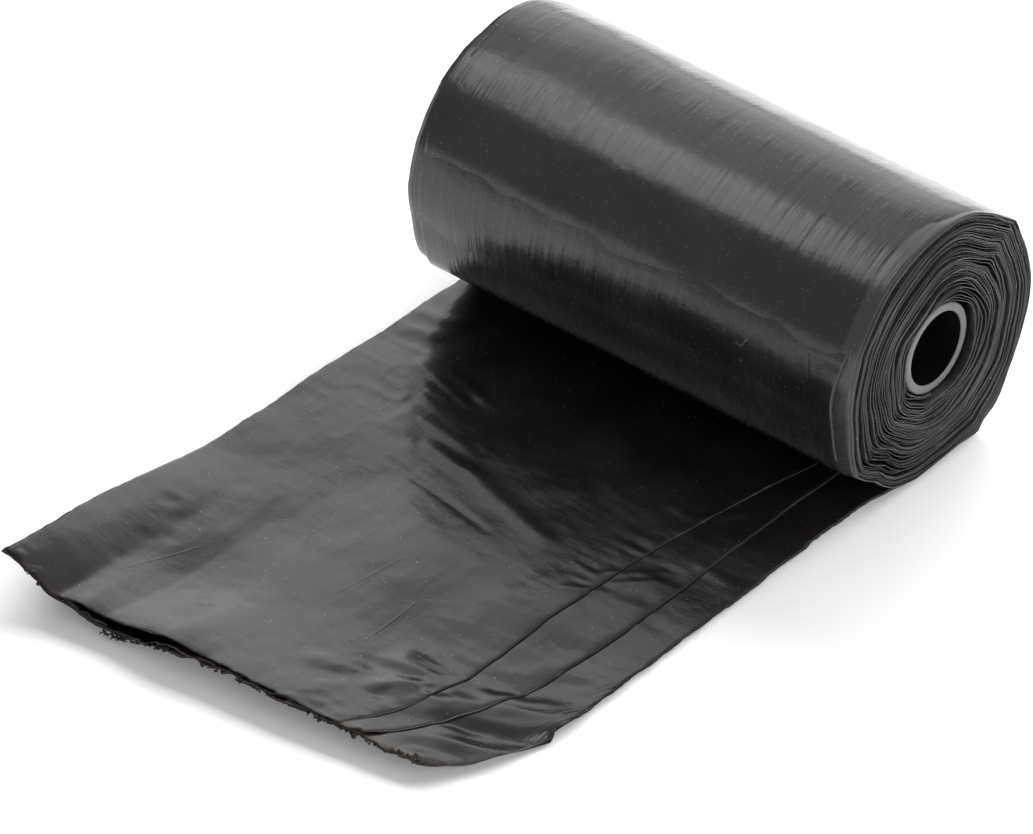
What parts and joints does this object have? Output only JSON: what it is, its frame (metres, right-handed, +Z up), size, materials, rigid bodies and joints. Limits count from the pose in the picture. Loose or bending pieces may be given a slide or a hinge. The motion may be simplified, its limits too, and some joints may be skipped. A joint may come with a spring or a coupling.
{
  "type": "roll of dog poop bags",
  "caption": "Started roll of thin dark plastic waste bags wound on a small open tube, with its folded loose end lying flat in front and torn off at the perforation.",
  "frame": {"origin": "on the ground, under the middle of the roll's length and straight below the axis of its tube, on the flat of the strip that the roll lies on", "axes": "+X along the tube's axis, towards the end where the tube lies nearly flush; -Y towards the torn end of the strip; +Z up"},
  "size_m": [0.0644, 0.1013, 0.0338],
  "materials": {
    "core_plastic": "matt dark grey moulded or extruded plastic",
    "bag_film": "near-black satin polyethylene film, finely wrinkled, with a little dust"
  },
  "bodies": {
    "root": {"core_tube": "core_plastic", "bag_strip": "bag_film"}
  },
  "joints": []
}
